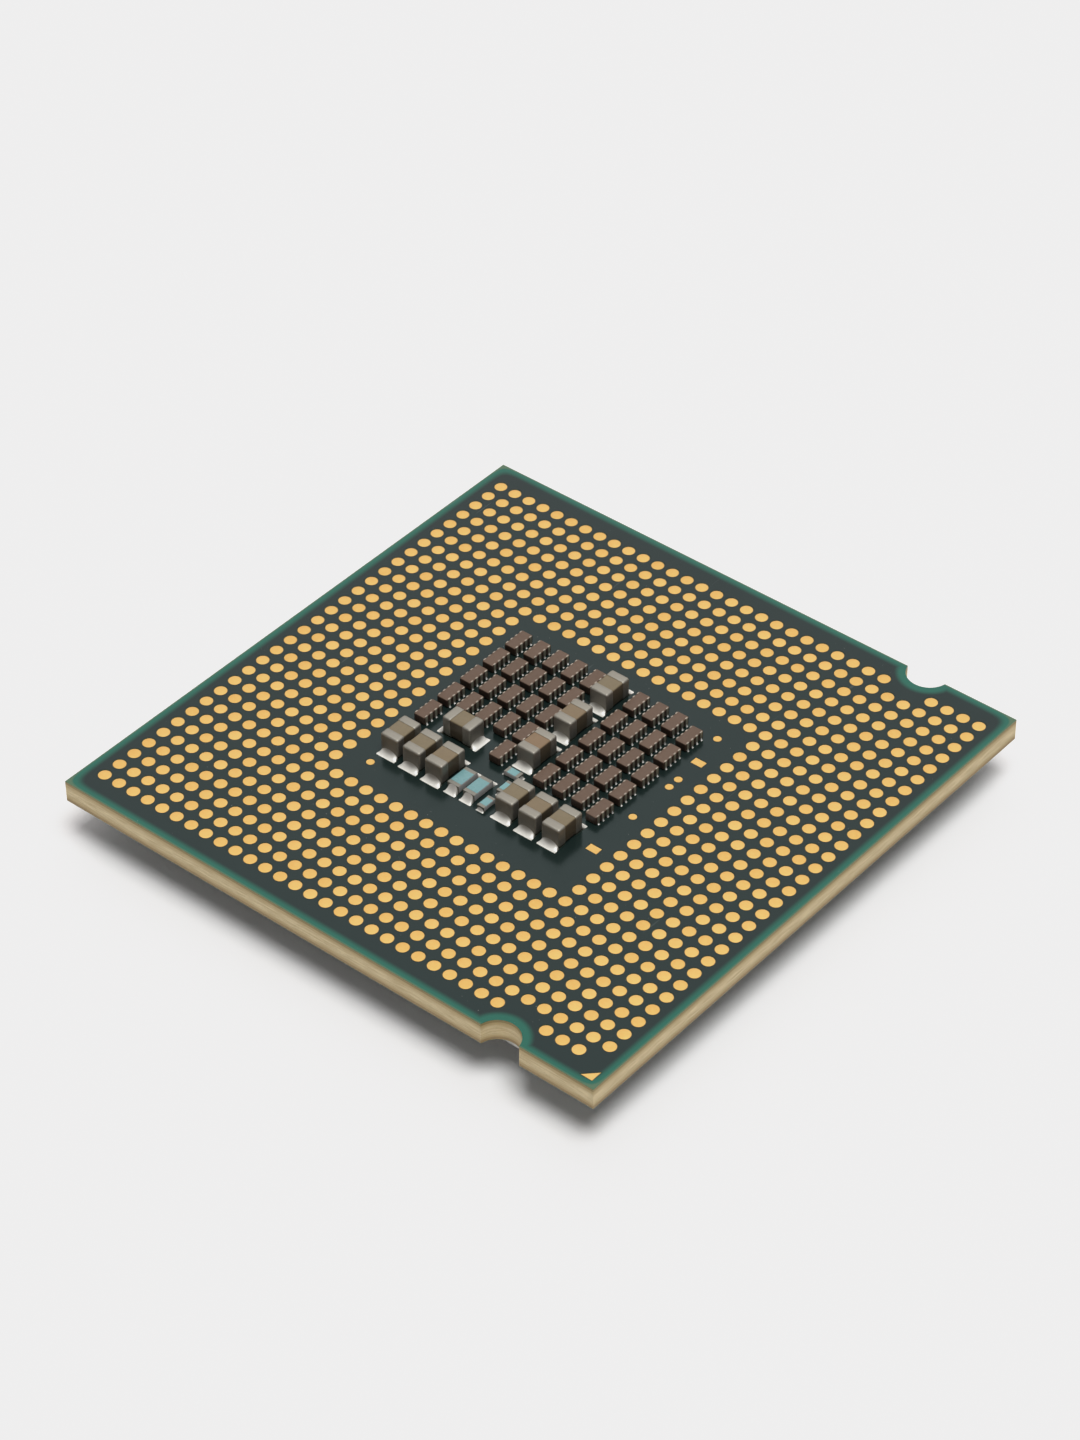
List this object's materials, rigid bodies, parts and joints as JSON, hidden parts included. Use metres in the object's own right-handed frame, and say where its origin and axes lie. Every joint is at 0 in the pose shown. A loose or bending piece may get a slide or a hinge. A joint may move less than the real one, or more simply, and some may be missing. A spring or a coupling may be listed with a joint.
{
  "type": "processor package",
  "caption": "Square land grid array processor package with gold contact lands, surface capacitors in the middle and a metal lid beneath.",
  "frame": {"origin": "centre of the lid's flat outer face, which the package rests on", "axes": "+Z from the lid to the contact lands, X across the two notched edges, -Y towards the notches and the pin-one corner"},
  "size_m": [0.0376, 0.0376, 0.0051],
  "materials": {
    "core_laminate": "glass-epoxy core, sawn edge",
    "buildup_film": "resin build-up film",
    "copper": "bare copper, sealed inside",
    "solder_mask": "satin green solder mask",
    "gold_plate": "satin gold over nickel",
    "nickel_plate": "satin nickel plate over copper",
    "sealant": "black silicone",
    "silicon": "polished silicon",
    "indium": "soft bright metal",
    "underfill_resin": "black epoxy",
    "tin_plate": "matte tin",
    "solder": "bright solder",
    "brown_ceramic": "brown fired ceramic",
    "beige_ceramic": "beige fired ceramic",
    "alumina": "grey alumina",
    "glass_coat": "blue-green glass"
  },
  "bodies": {
    "root": {"array_capacitor_row_1": "brown_ceramic", "array_capacitor_row_2": "brown_ceramic", "array_capacitor_row_3": "brown_ceramic", "array_capacitor_row_4": "brown_ceramic", "array_capacitor_row_5": "brown_ceramic", "array_capacitor_row_6": "brown_ceramic", "array_capacitor_row_7": "brown_ceramic", "array_capacitor_row_8": "brown_ceramic", "array_capacitor_row_9": "brown_ceramic", "array_terminals_bank_one": "tin_plate", "array_terminals_bank_two": "tin_plate", "buildup_inner_land_side": "buildup_film", "buildup_inner_lid_side": "buildup_film", "buildup_outer_land_side": "buildup_film", "buildup_outer_lid_side": "buildup_film", "bulk_capacitor_1": "beige_ceramic", "bulk_capacitor_10": "beige_ceramic", "bulk_capacitor_2": "beige_ceramic", "bulk_capacitor_3": "beige_ceramic", "bulk_capacitor_4": "beige_ceramic", "bulk_capacitor_5": "beige_ceramic", "bulk_capacitor_6": "beige_ceramic", "bulk_capacitor_7": "beige_ceramic", "bulk_capacitor_8": "beige_ceramic", "bulk_capacitor_9": "beige_ceramic", "bulk_capacitor_terminals": "tin_plate", "chip_glass_coats": "glass_coat", "contact_lands": "gold_plate", "copper_plane_land_side": "copper", "copper_plane_lid_side": "copper", "die_bumps": "solder", "die_one": "silicon", "die_two": "silicon", "fiducial_marks": "gold_plate", "heat_spreader_lid": "nickel_plate", "large_chip_resistor_1": "alumina", "large_chip_resistor_2": "alumina", "large_chip_terminals": "tin_plate", "lid_sealant": "sealant", "pin_one_marker_land_side": "gold_plate", "pin_one_marker_lid_side": "gold_plate", "small_chip_resistor_1": "alumina", "small_chip_resistor_2": "alumina", "small_chip_resistor_3": "alumina", "small_chip_terminals": "tin_plate", "solder_joints_array": "solder", "solder_joints_bulk": "solder", "solder_joints_chips": "solder", "solder_mask_land_side": "solder_mask", "solder_mask_lid_side": "solder_mask", "substrate_core": "core_laminate", "test_pads": "gold_plate", "thermal_solder_one": "indium", "thermal_solder_two": "indium", "underfill_one": "underfill_resin", "underfill_two": "underfill_resin"}
  },
  "joints": []
}
